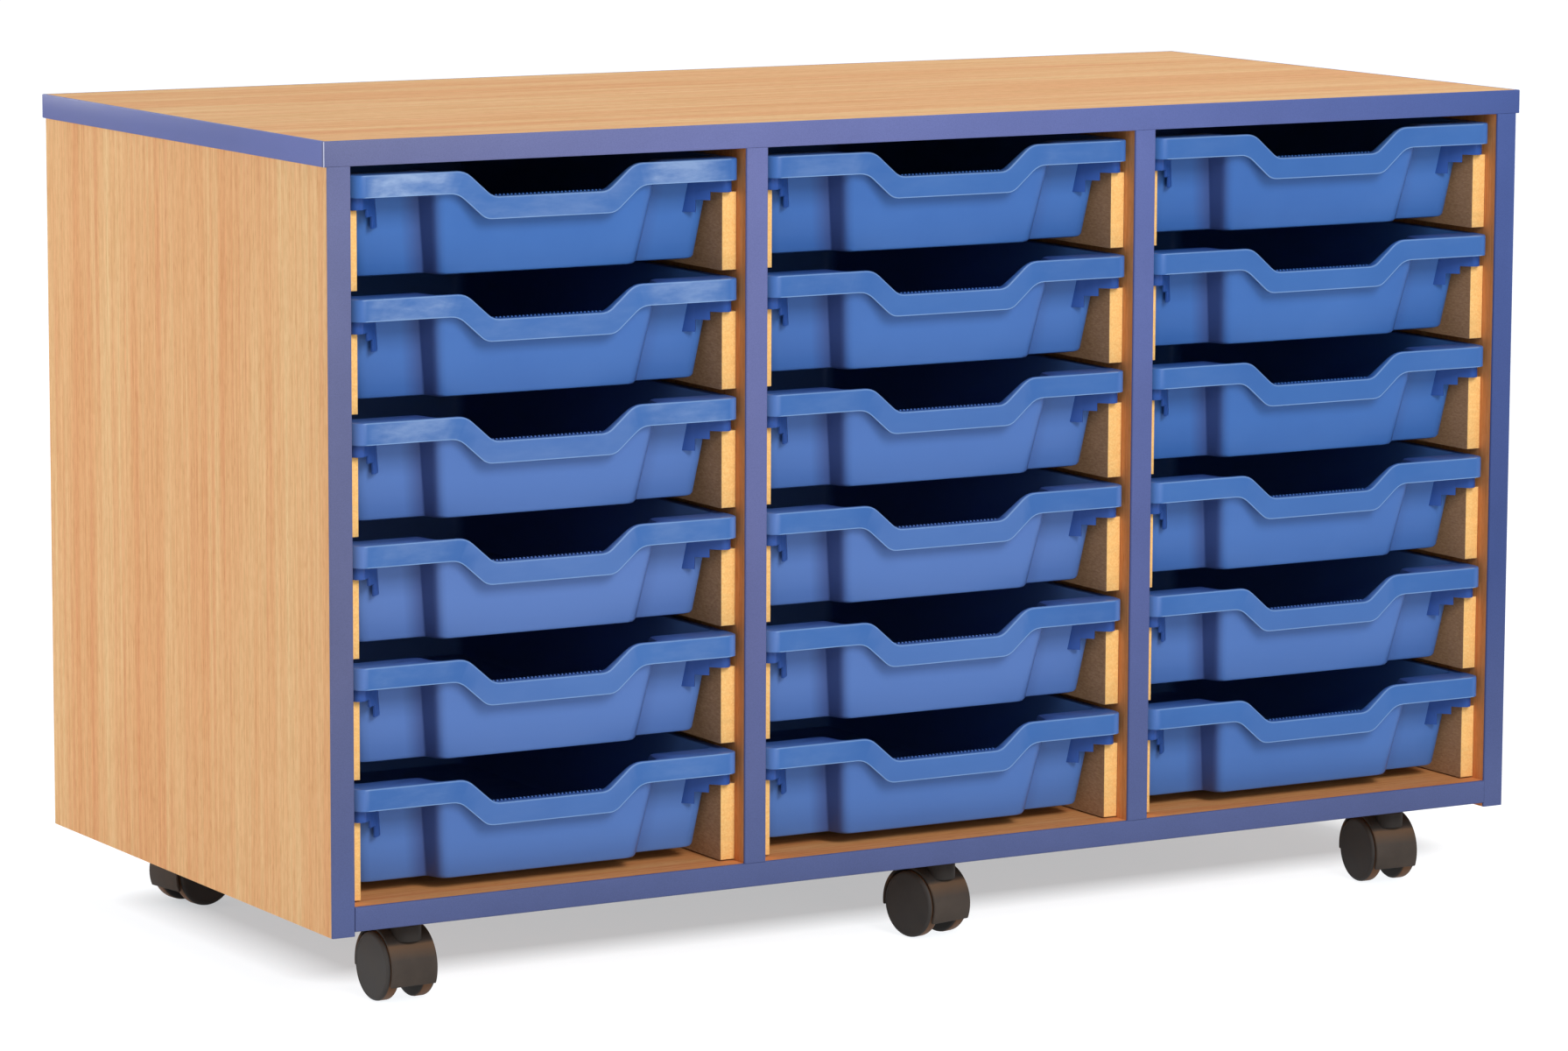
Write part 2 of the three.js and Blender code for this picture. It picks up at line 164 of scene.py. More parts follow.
def beech_finish(name, along, bay_space=None):
    """Printed beech: long straw and pink lines in broad soft bands, with fine fibres and short pores.
    Inside the bays, given by their half width and their back, it is toned a deeper orange, a painted
    shade, as the photograph shows it."""
    finish, tree, shader, place = new_finish(name, 0.6)
    shader.inputs["Specular IOR Level"].default_value = 0.02

    def grain(share):
        return tuple(share if axis == along else 1.0 for axis in "XYZ")

    streaks = stretched_noise(tree, place, grain(0.018), 165.0, 4.0, 0.6, 0.12)
    color = ramp(tree, streaks, [
        (0.32, paint(231, 196, 147)),
        (0.45, paint(230, 188, 139)),
        (0.56, paint(228, 181, 132)),
        (0.68, paint(225, 172, 126)),
    ])
    bands = stretched_noise(tree, place, grain(0.03), 20.0, 2.0)
    band_tone = ramp(tree, bands, [(0.4, grey(1.0)), (0.62, paint(250, 236, 231))])
    color = mixed(tree, 0.9, color, band_tone, "MULTIPLY")
    mottle = stretched_noise(tree, place, grain(0.25), 420.0, 2.0)
    mottle_tone = ramp(tree, mottle, [(0.35, paint(246, 240, 233)), (0.6, grey(1.02))])
    color = mixed(tree, 0.7, color, mottle_tone, "MULTIPLY")
    fibres = stretched_noise(tree, place, grain(0.02), 620.0, 2.0)
    fibre_tone = ramp(tree, fibres, [(0.3, paint(240, 231, 222)), (0.5, grey(0.98)), (0.7, grey(1.04))])
    color = mixed(tree, 0.8, color, fibre_tone, "MULTIPLY")
    pores = stretched_noise(tree, place, grain(0.07), 1000.0, 1.0)
    pore_tone = ramp(tree, pores, [(0.25, paint(208, 156, 114)), (0.34, grey(1.0))])
    color = mixed(tree, 0.45, color, pore_tone, "MULTIPLY")
    # Painted shade: the faces inside the bays take a deeper orange tone.
    if bay_space:
        half_width, back = bay_space
        across, backwards, _ = axis_values(tree, place)
        between_sides = math_step(tree, "LESS_THAN", math_step(tree, "ABSOLUTE", across), half_width)
        before_back = math_step(tree, "LESS_THAN", backwards, back)
        inside = math_step(tree, "MULTIPLY", between_sides, before_back)
        color = mixed(tree, inside, color, BAY_SHADE_TONE, "MULTIPLY")
    tree.links.new(color, shader.inputs["Base Color"])
    sheen = ramp(tree, fibres, [(0.3, grey(0.68)), (0.7, grey(0.54))])
    tree.links.new(sheen, shader.inputs["Roughness"])
    bump(tree, shader, fibres, 0.1, FIBRE_RELIEF)
    return finish


bay_space = (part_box("right_side")[1].x - BOARD / 2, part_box("back_panel")[0].y)
upright_beech = beech_finish("beech_upright", "Z", bay_space)
bottom_beech = beech_finish("beech_bottom", "X", bay_space)
lengthwise_beech = beech_finish("beech_lengthwise", "X")
for board in ("left_side", "right_side", "divider_1", "divider_2"):
    nodes[board].data.materials[0] = upright_beech
nodes["bottom_board"].data.materials[0] = bottom_beech
for board in ("top_board", "back_panel"):
    nodes[board].data.materials[0] = lengthwise_beech


# Edging strips. A 2 mm violet-blue plastic tape, glued to the front edges of the upright boards and
# the bottom board by an edge-banding machine, which also rounds over its two long edges.
TAPE = 2 * MM
EDGING_ROUND = 1.3 * MM
LONG_EDGE = 100 * MM
NEAR = 0.1 * MM
CREASE = 40
FLECK_RELIEF = 0.1 * MM


def start_box(name, low, high):
    """A block between two corners, with its place and size in its mesh."""
    bpy.ops.object.select_all(action="DESELECT")
    centre = [(a + b) / 2 for a, b in zip(low, high)]
    size = [b - a for a, b in zip(low, high)]
    bpy.ops.mesh.primitive_cube_add(size=1, location=centre, scale=size)
    bpy.ops.object.transform_apply(location=True, rotation=True, scale=True)
    piece = bpy.context.active_object
    piece.name = name
    return piece


def pick(piece, kind, wanted):
    """Selects, in edit mode, the edges or faces of a piece that a rule wants."""
    bpy.ops.object.mode_set(mode="EDIT")
    bpy.ops.mesh.select_mode(type=kind)
    bpy.ops.mesh.select_all(action="DESELECT")
    bpy.ops.object.mode_set(mode="OBJECT")
    for element in piece.data.edges if kind == "EDGE" else piece.data.polygons:
        element.select = wanted(element)
    bpy.ops.object.mode_set(mode="EDIT")


def round_edges(piece, wanted, radius, segments):
    """Rounds the edges of a piece whose two ends a rule wants."""
    corners = piece.data.vertices
    pick(piece, "EDGE", lambda edge: wanted(*(corners[i].co for i in edge.vertices)))
    bpy.ops.mesh.bevel(offset=radius, segments=segments, affect="EDGES")
    bpy.ops.object.mode_set(mode="OBJECT")


def choose(*pieces):
    """Selects pieces alone, and makes the first one active."""
    bpy.ops.object.select_all(action="DESELECT")
    for piece in pieces:
        piece.select_set(True)
    bpy.context.view_layer.objects.active = pieces[0]


def apply_modifier(piece, kind, **settings):
    """Adds a modifier with its settings to a piece and applies it."""
    choose(piece)
    modifier = piece.modifiers.new(kind.lower(), kind)
    for setting, value in settings.items():
        setattr(modifier, setting, value)
    bpy.ops.object.modifier_apply(modifier=modifier.name)


def smooth(piece, degrees):
    """Smooth shading, with creases kept where faces meet more sharply than an angle."""
    choose(piece)
    bpy.ops.object.shade_smooth_by_angle(angle=math.radians(degrees))


def finish_piece(piece, material, body, slot, *replaced):
    """Gives a piece its material and its body, and hides the nodes that it stands for; the slot is not
    used.
    """
    piece.data.materials.clear()
    piece.data.materials.append(material)
    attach(piece, body)
    if replaced:
        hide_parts(*replaced)


def map_range(tree, value, start, end, low, high):
    """A value between start and end as one between low and high, held at both ends."""
    node = tree.nodes.new("ShaderNodeMapRange")
    settings = (("From Min", start), ("From Max", end), ("To Min", low), ("To Max", high))
    for socket, number in settings:
        node.inputs[socket].default_value = number
    tree.links.new(value, node.inputs["Value"])
    return node.outputs["Result"]


def mark_share(tree, name):
    """The value of a mark that a piece carries on its mesh, 0 where it has none."""
    mark = tree.nodes.new("ShaderNodeAttribute")
    mark.attribute_name = name
    return mark.outputs["Fac"]


def edging_finish():
    """Violet-blue plastic with a faint fleck, an uneven gloss and pale cut ends. Its colour carries
    painted
    light and shade, as in the photograph: greyer and lighter at the left of the front, darker and bluer
    at the right and towards the back, even and darker at the foot."""
    finish, tree, shader, place = new_finish("edging_plastic", 0.45)
    shader.inputs["Specular IOR Level"].default_value = 0.1
    x, y, z = axis_values(tree, place)
    low, high = cad_box
    # Painted light and shade: the tape is lighter at the left, and darker to the right, towards the back
    # and at the foot.
    across = map_range(tree, x, low.x, high.x, 0.0, 1.0)
    color = ramp(tree, across, [
        (0.02, paint(102, 107, 147)),
        (0.34, paint(104, 111, 162)),
        (0.66, paint(94, 106, 162)),
        (0.98, paint(72, 90, 147)),
    ])
    backwards = map_range(tree, y, low.y, high.y, 0.0, 1.0)
    side_shade_color = ramp(tree, backwards, [
        (0.0, paint(106, 116, 174)),
        (0.5, paint(92, 102, 160)),
        (1.0, paint(78, 88, 150)),
    ])
    behind_front = map_range(tree, y, low.y + TAPE, low.y + 2 * TAPE, 0.0, 1.0)
    color = mixed(tree, behind_front, color, side_shade_color)
    upwards = map_range(tree, z, low.z, high.z, 0.0, 1.0)
    at_foot = ramp(tree, upwards, [(0.12, grey(1.0)), (0.4, grey(0.0))])
    color = mixed(tree, at_foot, color, paint(100, 113, 166))
    height_shade = ramp(tree, upwards, [(0.1, grey(0.66)), (0.95, grey(1.0))])
    color = mixed(tree, 1.0, color, height_shade, "MULTIPLY")
    cloud = stretched_noise(tree, place, (1, 1, 1), 9.0)
    cloud_tone = ramp(tree, cloud, [(0.3, grey(0.93)), (0.7, grey(1.05))])
    color = mixed(tree, 1.0, color, cloud_tone, "MULTIPLY")
    fleck = stretched_noise(tree, place, (1, 1, 1), 1500.0, 2.0)
    fleck_tone = ramp(tree, fleck, [(0.35, grey(0.9)), (0.6, grey(1.05))])
    color = mixed(tree, 0.8, color, fleck_tone, "MULTIPLY")
    color = mixed(tree, mark_share(tree, "cut"), color, paint(196, 199, 220))
    tree.links.new(color, shader.inputs["Base Color"])
    gloss = ramp(tree, cloud, [(0.3, grey(0.36)), (0.7, grey(0.48))])
    tree.links.new(gloss, shader.inputs["Roughness"])
    bump(tree, shader, fleck, 0.08, FLECK_RELIEF)
    return finish


edging_plastic = edging_finish()
for board in ("left_side", "right_side", "divider_1", "divider_2", "bottom"):
    node = board + "_edging"
    low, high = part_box(node)
    strip = start_box(board + "_edge_strip", low, high)
    tall = board != "bottom"

    def long_front_edge(a, b):
        on_front = max(a.y, b.y) < low.y + NEAR
        length = abs(a.z - b.z) if tall else abs(a.x - b.x)
        return on_front and length > LONG_EDGE

    round_edges(strip, long_front_edge, EDGING_ROUND, 4)
    smooth(strip, CREASE)
    finish_piece(strip, edging_plastic, "carcass", "edging", node)


# Top edging. The same plastic tape, glued to all four edges of the top board and trimmed square at the
# corners, where its cut end shows as a thin pale line; it stands a hair proud of the faced board.
TAPE_ROUND = 0.7 * MM
CUT_WIDTH = 0.45 * MM
PROUD = 0.08 * MM

low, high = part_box("top_edging")
top_strip = start_box("top_edge_strip", low, high)
pick(top_strip, "FACE", lambda face: abs(face.normal.z) > 0.9)
bpy.ops.mesh.delete(type="FACE")
bpy.ops.object.mode_set(mode="OBJECT")
apply_modifier(top_strip, "SOLIDIFY", thickness=TAPE, offset=-1, use_even_offset=True)


def outer_edge(a, b):
    inner_x, inner_y = high.x - TAPE / 2, high.y - TAPE / 2
    return all(abs(end.x) > inner_x or abs(end.y) > inner_y for end in (a, b))


round_edges(top_strip, outer_edge, TAPE_ROUND, 3)
cut_mark = top_strip.data.attributes.new("cut", "FLOAT", "POINT")
for index, vertex in enumerate(top_strip.data.vertices):
    vertex.co.z += PROUD if vertex.co.z > (low.z + high.z) / 2 else -PROUD
    from_corner = (high.x - abs(vertex.co.x), high.y - abs(vertex.co.y))
    cut_mark.data[index].value = float(max(from_corner) < CUT_WIDTH)
smooth(top_strip, CREASE)
finish_piece(top_strip, edging_plastic, "carcass", "edging", "top_edging")


# Tray runners. Plain strips of fibreboard, six to each bay face, screwed to the board behind them;
# their pale sawn front ends show, and the slots between them take the trays' rims.
STRIP_HEIGHT = 57 * MM
STRIP_PITCH = 87 * MM
STRIPS = 6
STRIP_ROUND = 0.7 * MM
SPECKLE_RELIEF = 0.2 * MM


def runner_finish():
    """Fibreboard with faint saw marks: pale sawn front ends with a speckle, and the other faces painted a
    darker, hairy brown as shade.
    """
    finish, tree, shader, place = new_finish("runner_fibreboard", 0.75)
    shader.inputs["Specular IOR Level"].default_value = 0.05
    speckle = stretched_noise(tree, place, (1, 1, 1), 700.0, 3.0)
    pale = ramp(tree, speckle, [
        (0.3, paint(237, 182, 109)),
        (0.5, paint(242, 193, 121)),
        (0.7, paint(246, 203, 135)),
    ])
    hairs = stretched_noise(tree, place, (0.3, 0.3, 1.0), 800.0, 4.0, 0.6)
    shaded_brown = ramp(tree, hairs, [
        (0.3, paint(148, 112, 82)),
        (0.5, paint(162, 125, 92)),
        (0.7, paint(175, 138, 104)),
    ])
    # Painted shade: every face but the front end takes the darker brown.
    color = mixed(tree, mark_share(tree, "front_end"), shaded_brown, pale)
    marks = stretched_noise(tree, place, (1, 1, 4), 60.0, 3.0)
    mark_tone = ramp(tree, marks, [(0.35, grey(0.92)), (0.65, grey(1.02))])
    color = mixed(tree, 0.7, color, mark_tone, "MULTIPLY")
    tree.links.new(color, shader.inputs["Base Color"])
    bump(tree, shader, speckle, 0.2, SPECKLE_RELIEF)
    return finish


runner_fibreboard = runner_finish()
for bay in ("left", "middle", "right"):
    for side in ("left", "right"):
        node = f"{bay}_bay_{side}_runners"
        low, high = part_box(node)
        strip_top = Vector((high.x, high.y, low.z + STRIP_HEIGHT))
        strips = start_box(f"{bay}_bay_{side}_strips", low, strip_top)
        round_edges(strips, lambda a, b: max(a.y, b.y) < low.y + NEAR, STRIP_ROUND, 2)
        end_mark = strips.data.attributes.new("front_end", "FLOAT", "FACE")
        for face in strips.data.polygons:
            end_mark.data[face.index].value = float(face.normal.y < -0.5)
        apply_modifier(strips, "ARRAY", count=STRIPS, use_relative_offset=False,
                       use_constant_offset=True, constant_offset_displace=(0, 0, STRIP_PITCH))
        smooth(strips, CREASE)
        finish_piece(strips, runner_fibreboard, "carcass", "runner_board", node)


# Trays. One injection-moulded sheet of blue plastic, 2 mm thick: a turned-down band round the rim that
# dips into a hand grip, a flat flange, and tapered walls with a bulge in the middle of the front. Its
# side skirts slide on the runners, and a stepped gusset braces each front corner. Sizes in millimetres.
TRAY_WIDTH, TRAY_DEPTH, TRAY_HEIGHT, WALL = 312.0, 427.0, 75.0, 2.0
BAND, LIP, SKIRT = 16.0, 0.9, 25.0
RIM_CORNER, RIM_ROUND, MOUTH_ROUND, FLOOR_ROUND = 10.0, 1.4, 2.0, 1.5
DIP, DIP_FLOOR, DIP_RUN, DIP_BEND, DIP_CREST = 19.0, 46.0, 22.0, 5.0, 6.5
DRAFT, LEAN = math.tan(math.radians(8)), math.tan(math.radians(12.7))
BODY_HALF, PANEL, BULGE, BULGE_HALF, FLARE = 149.11, 24.0, 2.6, 91.0, 4.5
BACK_RIM, BODY_CORNER, BULGE_CORNER, BULGE_ROOT = 7.0, 9.0, 5.5, 3.0
SHEET_EDGE_ROUND, SHARP = 0.45, 50
ARC = [0, 0.25, 0.5, 0.75, 1]
FRONT_STATIONS = 14
SIDE_SHARES = [0.002, 0.2, 0.5, 0.8, 0.998]
REAR_SHARES = [0.66, 0.33, 0.0]


def fillet(before, corner, after, reach):
    """Points of a smooth bend at a corner, which starts and ends a reach away from it."""
    start = corner + (before - corner).normalized() * reach
    end = corner + (after - corner).normalized() * reach
    return [start * (1 - s) ** 2 + corner * 2 * s * (1 - s) + end * s * s for s in ARC]


def dip_line(down):
    """The right half of the rim's front line across the dip, moved square to itself by a distance."""
    spread = down * math.tan(math.atan2(DIP, DIP_RUN) / 2)
    middle = Vector((0, -DIP - down))
    floor = Vector((DIP_FLOOR + spread, -DIP - down))
    brink = Vector((DIP_FLOOR + DIP_RUN + spread, -down))
    flat = Vector((TRAY_WIDTH / 2, -down))
    bend = fillet(middle, floor, brink, DIP_BEND)
    crest = fillet(floor, brink, flat, DIP_CREST)
    slope = (bend[-1] + crest[0]) / 2
    return [middle, middle.lerp(floor, 0.35), middle.lerp(floor, 0.7), *bend, slope, *crest]


def rim_half(inset, down):
    """Right half of a line round the rim, set in from its outside and moved down."""
    points = [Vector((p.x, inset, p.y)) for p in dip_line(down)]
    half, radius = TRAY_WIDTH / 2, RIM_CORNER - inset
    turn = [share * math.pi / 2 for share in ARC]
    mid_x, mid_y = half - RIM_CORNER, RIM_CORNER
    crest = points[-1].x
    for station in range(1, FRONT_STATIONS + 1):
        share = station / (FRONT_STATIONS + 1)
        points.append(Vector((crest + (mid_x - crest) * share, inset, -down)))
    points += [Vector((mid_x + radius * math.sin(a), mid_y - radius * math.cos(a), -down)) for a in turn]
    span = TRAY_DEPTH - 2 * RIM_CORNER
    points += [Vector((half - inset, RIM_CORNER + span * s, -down)) for s in SIDE_SHARES]
    mid_y = TRAY_DEPTH - RIM_CORNER
    points += [Vector((mid_x + radius * math.cos(a), mid_y + radius * math.sin(a), -down)) for a in turn]
    points += [Vector((mid_x * s, TRAY_DEPTH - inset, -down)) for s in REAR_SHARES]
    return points


def wall_half(below, inset, dipped):
    """Right half of a line on the inside of the walls; dipped lines follow the hand grip."""
    taper = below * DRAFT + WALL + inset
    half, bulge_half = BODY_HALF - taper, BULGE_HALF - taper
    panel = PANEL + below * DRAFT + WALL + inset
    rear = TRAY_DEPTH - BACK_RIM - taper
    bulge = BULGE + below * LEAN + WALL + inset
    nose = Vector((bulge_half, bulge))
    root = Vector((bulge_half + FLARE, panel))
    corner, rear_corner = Vector((half, panel)), Vector((half, rear))
    points = []
    for p in dip_line(0):
        if dipped:
            depth = below - p.y
            points.append(Vector((p.x, BULGE + depth * LEAN + WALL + inset, -depth)))
        else:
            share = p.x / (BULGE_HALF - BULGE_CORNER)
            points.append(Vector((share * (bulge_half - BULGE_CORNER), bulge, -below)))
    last = points[-1].x
    ahead = nose.x - BULGE_CORNER
    outline = [Vector((last + (ahead - last) * s, bulge)) for s in (0.33, 0.66)]
    outline += fillet(Vector((0, bulge)), nose, root, BULGE_CORNER)
    outline += fillet(nose, root, corner, BULGE_ROOT)
    start = corner.x - BODY_CORNER
    outline += [outline[-1].lerp(Vector((start, panel)), s) for s in (0.33, 0.66)]
    outline += fillet(root, corner, rear_corner, BODY_CORNER)
    side = (panel + BODY_CORNER, rear - BODY_CORNER)
    outline += [Vector((half, side[0] + (side[1] - side[0]) * s)) for s in SIDE_SHARES]
    outline += fillet(corner, rear_corner, Vector((0, rear)), BODY_CORNER)
    outline += [Vector(((half - BODY_CORNER) * s, rear)) for s in REAR_SHARES]
    return points + [Vector((p.x, p.y, -below)) for p in outline]


def whole_line(half):
    """A closed line from its right half, mirrored to the left."""
    left = [Vector((-p.x, p.y, p.z)) for p in half[-2:0:-1]]
    return [p * MM for p in half + left]


def round_steps(radius):
    """Inset and drop of three lines that turn a right-angled edge on a radius."""
    return [(radius * (1 - math.sin(a)), radius * (1 - math.cos(a)))
            for a in (math.pi / 2, math.pi / 4, 0)]


def tray_lines():
    """Every line of the moulded sheet, from the band's lower edge over the rim to the floor."""
    lines = [rim_half(0, BAND), rim_half(0, BAND - LIP)]
    for drop, inset in round_steps(RIM_ROUND)[::-1]:
        lines.append(rim_half(inset, drop))
    for inset, drop in round_steps(MOUTH_ROUND)[::-1]:
        lines.append(wall_half(drop, -inset, True))
    depth = TRAY_HEIGHT - WALL
    lines.append(wall_half(DIP + SKIRT, 0, False))
    for drop, inset in round_steps(FLOOR_ROUND)[::-1]:
        lines.append(wall_half(depth - drop, inset, False))
    return [whole_line(half) for half in lines]


def close_loop(piece, indices):
    """Fills the loop of edges that runs through the given vertices."""
    pick(piece, "EDGE", lambda edge: all(i in indices for i in edge.vertices))
    bpy.ops.mesh.edge_face_add()
    bpy.ops.object.mode_set(mode="OBJECT")


def skin(name, lines, start_closed):
    """A skin that is drawn from one closed line to the next by extruding its last edge."""
    bpy.ops.object.select_all(action="DESELECT")
    bpy.ops.mesh.primitive_circle_add(vertices=len(lines[0]), radius=0.1)
    piece = bpy.context.active_object
    piece.name = name
    mesh = piece.data
    station = {index: index for index in range(len(lines[0]))}
    for vertex, point in zip(mesh.vertices, lines[0]):
        vertex.co = point
    known = set(station)
    for line in lines[1:]:
        pick(piece, "EDGE", lambda edge: all(i in station for i in edge.vertices))
        bpy.ops.mesh.extrude_edges_move()
        bpy.ops.object.mode_set(mode="OBJECT")
        drawn = {}
        for edge in mesh.edges:
            for old, new in (tuple(edge.vertices), tuple(edge.vertices)[::-1]):
                if old in station and new not in known:
                    drawn[new] = station[old]
        for index, place in drawn.items():
            mesh.vertices[index].co = line[place]
        station = drawn
        known |= set(drawn)
    close_loop(piece, set(station))
    if start_closed:
        close_loop(piece, set(range(len(lines[0]))))
    bpy.ops.object.mode_set(mode="EDIT")
    bpy.ops.mesh.select_all(action="SELECT")
    bpy.ops.mesh.normals_make_consistent(inside=False)
    bpy.ops.object.mode_set(mode="OBJECT")
    return piece


def soften(piece, width, segments, sharp=SHARP):
    """Bevels, in millimetres, every edge of a piece that is sharper than an angle."""
    apply_modifier(piece, "BEVEL", width=width * MM, segments=segments, limit_method="ANGLE",
                   angle_limit=math.radians(sharp))


lines = tray_lines()
tray = skin("tray_model", lines, False)
tray_floor = min(tray.data.polygons, key=lambda face: face.center.z)
if tray_floor.normal.z < 0:
    bpy.ops.object.mode_set(mode="EDIT")
    bpy.ops.mesh.flip_normals()
    bpy.ops.object.mode_set(mode="OBJECT")
apply_modifier(tray, "SOLIDIFY", thickness=WALL * MM, offset=-1, use_even_offset=True)
soften(tray, SHEET_EDGE_ROUND, 2)

# Side skirts of the tray: each runs forward to a round nose, and turns back slantwise from it as a
# gusset that steps down to the set-back front panel.
SKIRT_INSET, NOSE_FRONT, NOSE_RADIUS = 2.4, 6.9, 4.5
GUSSET_STEPS = ((9.0, 6.0), (20.0, 9.0))
STEP_SLIP = 0.02
NOSE_TURN, NOSE_STEP = 135, 15
SLANT = Vector((-1, 1)).normalized()
SKIRT_ROUND, SKIRT_SHARP = 0.3, 60
SKIRT_SHADE = 0.78


def skirt_stations():
    """Places along one skirt, each with the height of its lower edge."""
    middle = TRAY_WIDTH / 2 - SKIRT_INSET - WALL / 2
    centre = Vector((middle - NOSE_RADIUS, NOSE_FRONT + WALL / 2 + NOSE_RADIUS))
    stations = [(Vector((middle, TRAY_DEPTH - RIM_CORNER)), Vector((1, 0)), -SKIRT)]
    for turn in range(0, NOSE_TURN + 1, NOSE_STEP):
        out = Vector((math.cos(math.radians(turn)), -math.sin(math.radians(turn))))
        stations.append((centre + out * NOSE_RADIUS, out, -SKIRT))
    start, out = stations[-1][0], stations[-1][1]
    low = -SKIRT
    for run, drop in GUSSET_STEPS:
        stations.append((start + SLANT * run, out, low))
        low -= drop
        stations.append((start + SLANT * (run + STEP_SLIP), out, low))
    return stations, start, out, low


def skirt_lines(side):
    """Closed sections of one skirt, from its rear end to where the gusset meets the panel."""
    top = -WALL / 2
    stations, start, out, low = skirt_stations()
    places = [(place, place, out_there, foot) for place, out_there, foot in stations]
    reach = [(PANEL + WALL / 2 - z * DRAFT - start.y) / SLANT.y for z in (top, low)]
    places.append((start + SLANT * reach[0], start + SLANT * reach[1], out, low))
    sections = []
    for above, below, normal, foot in places:
        step = normal * WALL / 2
        ring = [(above + step, top), (below + step, foot), (below - step, foot), (above - step, top)]
        sections.append([Vector((side * p.x, p.y, z)) * MM for p, z in ring])
    return sections


moulded = [tray]
for side in (-1, 1):
    skirt = skin("skirt", skirt_lines(side), True)
    soften(skirt, SKIRT_ROUND, 2, SKIRT_SHARP)
    # Painted shade: the skirts take a deeper blue.
    for mark in skirt.data.attributes.new("deep_shade", "FLOAT", "POINT").data:
        mark.value = SKIRT_SHADE
    moulded.append(skirt)

# Grip ribs of the tray: a row of fine teeth on the wall's edge behind the dip.
RIBS, RIB_PITCH, RIB_WIDTH, FIRST_RIB = 29, 3.1, 1.2, -44.0
RIB_FRONT, RIB_BACK, RIB_SINK, RIB_HEIGHT = 0.2, 2.0, 0.4, 0.7
TRAY_CREASE = 35


def join_pieces(name, pieces):
    """Joins loose pieces into the first one."""
    choose(*pieces)
    bpy.ops.object.join()
    pieces[0].name = name
    return pieces[0]


rib_y = BULGE + DIP * LEAN
rib_low = Vector((FIRST_RIB, rib_y + RIB_FRONT, -DIP - RIB_SINK)) * MM
rib_high = Vector((FIRST_RIB + RIB_WIDTH, rib_y + RIB_BACK, -DIP + RIB_HEIGHT)) * MM
rib = start_box("grip_rib", rib_low, rib_high)
apply_modifier(rib, "ARRAY", count=RIBS, use_relative_offset=False, use_constant_offset=True,
               constant_offset_displace=(RIB_PITCH * MM, 0, 0))
tray = join_pieces("tray_model", [*moulded, rib])
smooth(tray, TRAY_CREASE)

# Marks on the tray, fitted to the photograph: a painted shade deepens the rim's front, scuffs lie on it,
# a painted highlight runs along its edges, a paler blue lies on the body more than the rim, and a painted
# shade darkens the sides of the bulge, the skirts and the flange.
MARKS = ("rim_shade", "band", "edge_highlight", "paler", "recess_shade")
for mark in MARKS:
    tray.data.attributes.new(mark, "FLOAT", "POINT")
rim_shade_mark, band_mark, edge_highlight_mark, paler_mark, recess_shade_mark = (tray.data.attributes[mark] for mark in MARKS)
deep_shade_mark = tray.data.attributes["deep_shade"]
FLANGE_SHADE, FACING_UP = 0.35, 0.8
LOWER_HIGHLIGHT, UPPER_HIGHLIGHT, DIP_PALER = 0.9, 0.6, 0.6
FLANK_SHADE, LEFT_ROOT_SHADE, RIGHT_ROOT_SHADE = 0.8, 0.7, 0.3
FLANK_FULL, ROOT_START, ROOT_END = 0.25, 0.95, 1.1
LIP_REACH = 0.75 * MM
WEAR_ACROSS = ((-144, 0.1), (-137, 0.6), (-84, 1.0), (-76, 0.5), (-44, 0.2), (44, 0.25), (76, 0.15),
               (84, 0.4), (137, 0.7), (144, 0.4), (160, 0.1))
lower_edge, upper_edge = lines[0], lines[3]
for index, vertex in enumerate(tray.data.vertices):
    place = vertex.co
    on_front = place.y < LIP_REACH
    in_dip = abs(place.x) < (DIP_FLOOR + DIP_RUN) * MM
    paler_mark.data[index].value = 1.0 if not on_front else DIP_PALER if in_dip else 0.0
    if on_front:
        rim_shade_mark.data[index].value = 1.0
        band_mark.data[index].value = next(share for reach, share in WEAR_ACROSS if place.x / MM < reach)
    # Painted highlights along the band's lower and upper edges.
    if on_front and min((place - point).length for point in lower_edge) < LIP_REACH:
        edge_highlight_mark.data[index].value = LOWER_HIGHLIGHT
    elif on_front and min((place - point).length for point in upper_edge) < LIP_REACH / 2:
        edge_highlight_mark.data[index].value = UPPER_HIGHLIGHT
    # Painted shade: the flange's upward faces take a deeper blue.
    if vertex.normal.z > FACING_UP and place.z > -2 * DIP * MM:
        deep_shade_mark.data[index].value = FLANGE_SHADE


def flank_shade(place):
    """How much painted shade a place on the tray takes beside the bulge's flanks, more at the left root.
    """
    x, y, below = abs(place.x) / MM, place.y / MM, -place.z / MM
    flank_front, flank_root = BULGE + below * LEAN, PANEL + below * DRAFT
    flank_x = BULGE_HALF - below * DRAFT
    along = (y - flank_front) / (flank_root - flank_front)
    root_shade = LEFT_ROOT_SHADE if place.x < 0 else RIGHT_ROOT_SHADE
    if abs(x - flank_x - FLARE / 2) < FLARE + BULGE_ROOT and 0 < along < ROOT_END:
        return root_shade if along > ROOT_START else FLANK_SHADE * min(1, along / FLANK_FULL)
    return 0.0


for index, vertex in enumerate(tray.data.vertices):
    recess_shade_mark.data[index].value = flank_shade(vertex.co)


RIM_SHADE_TONE = (0.85, 0.88, 0.87, 1.0)


